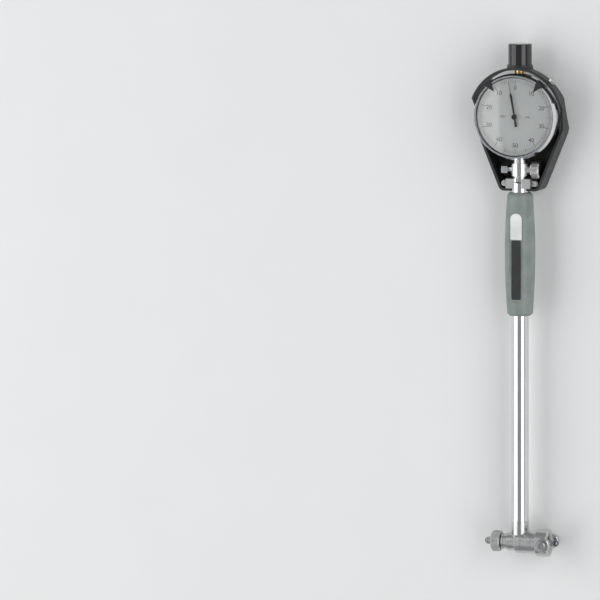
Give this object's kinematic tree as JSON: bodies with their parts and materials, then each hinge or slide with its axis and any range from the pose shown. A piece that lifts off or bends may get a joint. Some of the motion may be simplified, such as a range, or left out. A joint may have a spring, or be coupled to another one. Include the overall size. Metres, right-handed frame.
{
  "type": "dial bore gauge",
  "caption": "Dial bore gauge: shielded dial indicator, clamped on a long stem with a moulded grip and a measuring head with anvil, sprung contact and centring rollers.",
  "frame": {"origin": "Middle of the footprint, on the plane the gauge lies on.", "axes": "+X along the measuring axis towards the sprung contact; +Y along the stem towards the dust cap; +Z out of the dial, up as it lies on its back."},
  "size_m": [0.0638, 0.3582, 0.0324],
  "materials": {
    "guard_plastic": "slightly rough black moulding",
    "cap_plastic": "glossy black",
    "marker_black": "black painted spring steel",
    "grip_plastic": "grey-green moulding",
    "label_white": "bare white label",
    "label_black": "bare black label",
    "bright_chrome": "polished",
    "turned_steel": "fine turned",
    "hard_tip": "ground hard metal",
    "screw_steel": "zinc plated",
    "inner_steel": "ground",
    "spring_steel": "drawn wire",
    "gear_brass": "cut",
    "cast_alloy": "satin",
    "dial_white": "white enamel",
    "pointer_black": "black painted",
    "clear_glass": "clear"
  },
  "bodies": {
    "gauge_body": {"guard_shell": "guard_plastic", "guard_screws": "screw_steel", "mounting_block": "cast_alloy", "split_sleeve": "turned_steel", "clamp_ring": "bright_chrome", "clamp_nut": "bright_chrome", "indicator_case": "cast_alloy", "case_back_cover": "cast_alloy", "back_cover_screws": "screw_steel", "indicator_stem": "turned_steel", "top_bushing": "gear_brass", "dust_cap": "cap_plastic", "movement_plate": "gear_brass", "movement_pillars": "gear_brass", "movement_screws": "screw_steel", "spring_post": "inner_steel", "spindle_return_spring": "spring_steel", "hairspring": "gear_brass", "stem_tube": "bright_chrome", "upper_rod_bush": "gear_brass", "lower_rod_bush": "gear_brass", "rod_return_spring": "spring_steel", "grip_sleeve": "grip_plastic", "white_label_plate": "label_white", "black_label_plate": "label_black", "head_body": "turned_steel", "anvil": "turned_steel", "anvil_tip": "hard_tip", "crank_pin": "inner_steel", "plunger_bush": "turned_steel", "plunger_spring": "spring_steel", "bridge_guide_pins": "turned_steel", "bridge_springs": "spring_steel", "bridge_retaining_ring": "turned_steel"},
    "bezel": {"bezel_ring": "bright_chrome", "crystal": "clear_glass", "dial_face": "dial_white"},
    "left_marker": {"tolerance_marker_left": "marker_black"},
    "right_marker": {"tolerance_marker_right": "marker_black"},
    "push_rod": {"transfer_rod": "inner_steel"},
    "measuring_contact": {"contact_plunger": "turned_steel", "contact_tip": "hard_tip"},
    "crank": {"bell_crank": "inner_steel"},
    "indicator_spindle": {"spindle": "inner_steel", "spindle_contact_point": "inner_steel", "spindle_guide_pin": "inner_steel"},
    "rack_arbor": {"rack_pinion": "gear_brass", "rack_gear": "gear_brass"},
    "hand": {"pointer": "pointer_black", "centre_pinion": "gear_brass"},
    "take_up_wheel": {"take_up_arbor": "inner_steel", "take_up_gear": "gear_brass"},
    "bridge": {"centring_bridge": "turned_steel", "roller_screws": "screw_steel"},
    "roller_front": {"front_roller": "turned_steel"},
    "roller_rear": {"rear_roller": "turned_steel"},
    "knob": {"clamp_knob": "bright_chrome"},
    "lock_screw": {"bezel_lock_screw": "turned_steel"},
    "lock_nut": {"anvil_lock_nut": "turned_steel"}
  },
  "joints": [
    {"name": "bezel_turn", "type": "hinge", "parent": "gauge_body", "child": "bezel", "pos_m": [0, 0.12907, 0.027], "axis": [0, 0, 1], "continuous": true},
    {"name": "left_marker_swing", "type": "hinge", "parent": "bezel", "child": "left_marker", "pos_m": [0, 0.12907, 0.027], "axis": [0, 0, 1], "range_deg": [-30, 120]},
    {"name": "right_marker_swing", "type": "hinge", "parent": "bezel", "child": "right_marker", "pos_m": [0, 0.12907, 0.027], "axis": [0, 0, 1], "range_deg": [-120, 30]},
    {"name": "rod_slide", "type": "slide", "parent": "gauge_body", "child": "push_rod", "axis": [0, 1, 0], "range_m": [0, 0.0016], "stiffness_N_per_m": 300, "springref_m": -0.008, "deforming": ["rod_return_spring"]},
    {"name": "contact_slide", "type": "slide", "parent": "gauge_body", "child": "measuring_contact", "axis": [1, 0, 0], "range_m": [-0.0016, 0], "deforming": ["plunger_spring"]},
    {"name": "crank_turn", "type": "hinge", "parent": "gauge_body", "child": "crank", "pos_m": [0.005, -0.16432, 0.016], "axis": [0, 0, 1], "range_deg": [-18.34, 0]},
    {"name": "spindle_slide", "type": "slide", "parent": "gauge_body", "child": "indicator_spindle", "axis": [0, 1, 0], "range_m": [0, 0.0016], "deforming": ["spindle_return_spring"]},
    {"name": "rack_arbor_turn", "type": "hinge", "parent": "gauge_body", "child": "rack_arbor", "pos_m": [-0.00329, 0.13957, 0.016], "axis": [0, 0, 1], "range_deg": [0, 57.7]},
    {"name": "pointer_turn", "type": "hinge", "parent": "gauge_body", "child": "hand", "pos_m": [0, 0.12907, 0.027], "axis": [0, 0, 1], "range_deg": [-577, 0]},
    {"name": "take_up_turn", "type": "hinge", "parent": "gauge_body", "child": "take_up_wheel", "pos_m": [0.00329, 0.11858, 0.016], "axis": [0, 0, 1], "range_deg": [0, 57.7], "deforming": ["hairspring"]},
    {"name": "bridge_slide", "type": "slide", "parent": "gauge_body", "child": "bridge", "axis": [1, 0, 0], "range_m": [-0.002, 0], "stiffness_N_per_m": 800, "springref_m": 0.005, "deforming": ["bridge_springs"]},
    {"name": "front_roller_turn", "type": "hinge", "parent": "bridge", "child": "roller_front", "pos_m": [0.0198, -0.16933, 0.0272], "axis": [0, 0, 1], "continuous": true},
    {"name": "rear_roller_turn", "type": "hinge", "parent": "bridge", "child": "roller_rear", "pos_m": [0.0198, -0.16933, 0.0048], "axis": [0, 0, 1], "continuous": true},
    {"name": "knob_turn", "type": "hinge", "parent": "gauge_body", "child": "knob", "pos_m": [0.0121, 0.09148, 0.016], "axis": [1, 0, 0], "range_deg": [0, 270]},
    {"name": "lock_screw_turn", "type": "hinge", "parent": "gauge_body", "child": "lock_screw", "pos_m": [0.02475, 0.15382, 0.022], "axis": [0.7071, 0.7071, 0], "range_deg": [0, 360]},
    {"name": "lock_nut_turn", "type": "hinge", "parent": "gauge_body", "child": "lock_nut", "pos_m": [-0.0167, -0.16933, 0.016], "axis": [1, 0, 0], "range_deg": [0, 360]}
  ],
  "couplings": [
    {"joint": "contact_slide", "follows": "rod_slide", "ratio": -1},
    {"joint": "crank_turn", "follows": "rod_slide", "rad_per_m": -200},
    {"joint": "spindle_slide", "follows": "rod_slide", "ratio": 1},
    {"joint": "rack_arbor_turn", "follows": "rod_slide", "rad_per_m": 628.32},
    {"joint": "pointer_turn", "follows": "rod_slide", "rad_per_m": -6283.2},
    {"joint": "take_up_turn", "follows": "rod_slide", "rad_per_m": 628.32}
  ]
}
